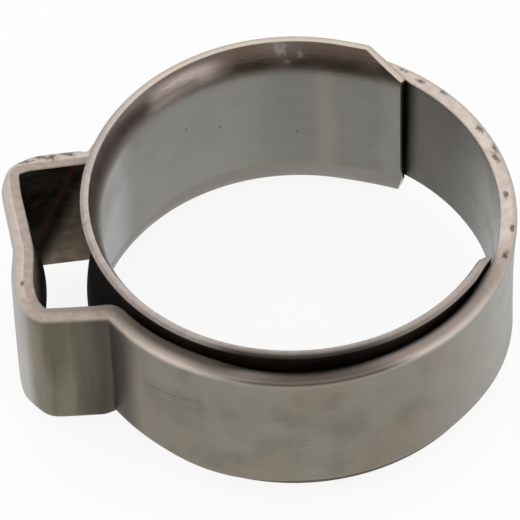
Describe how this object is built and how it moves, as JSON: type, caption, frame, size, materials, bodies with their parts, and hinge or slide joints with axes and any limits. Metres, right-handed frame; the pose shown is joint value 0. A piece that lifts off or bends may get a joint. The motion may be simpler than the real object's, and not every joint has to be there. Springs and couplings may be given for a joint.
{
  "type": "ear hose clamp",
  "caption": "Single-ear crimp clamp for a hose: a flat steel band with a crimping ear around an open insert ring with flared lips.",
  "frame": {"origin": "middle of the hose bore: on the insert ring's axis, half way between its two lips", "axes": "+Z runs along the hose, and the crimping ear points towards -X"},
  "size_m": [0.0213, 0.0192, 0.0084],
  "materials": {
    "band_steel": "satin, lightly scuffed, with bright sheared edges",
    "insert_steel": "satin sheet with darker, drawn lips"
  },
  "bodies": {
    "root": {"clamp_band": "band_steel", "insert_ring": "insert_steel"}
  },
  "joints": []
}
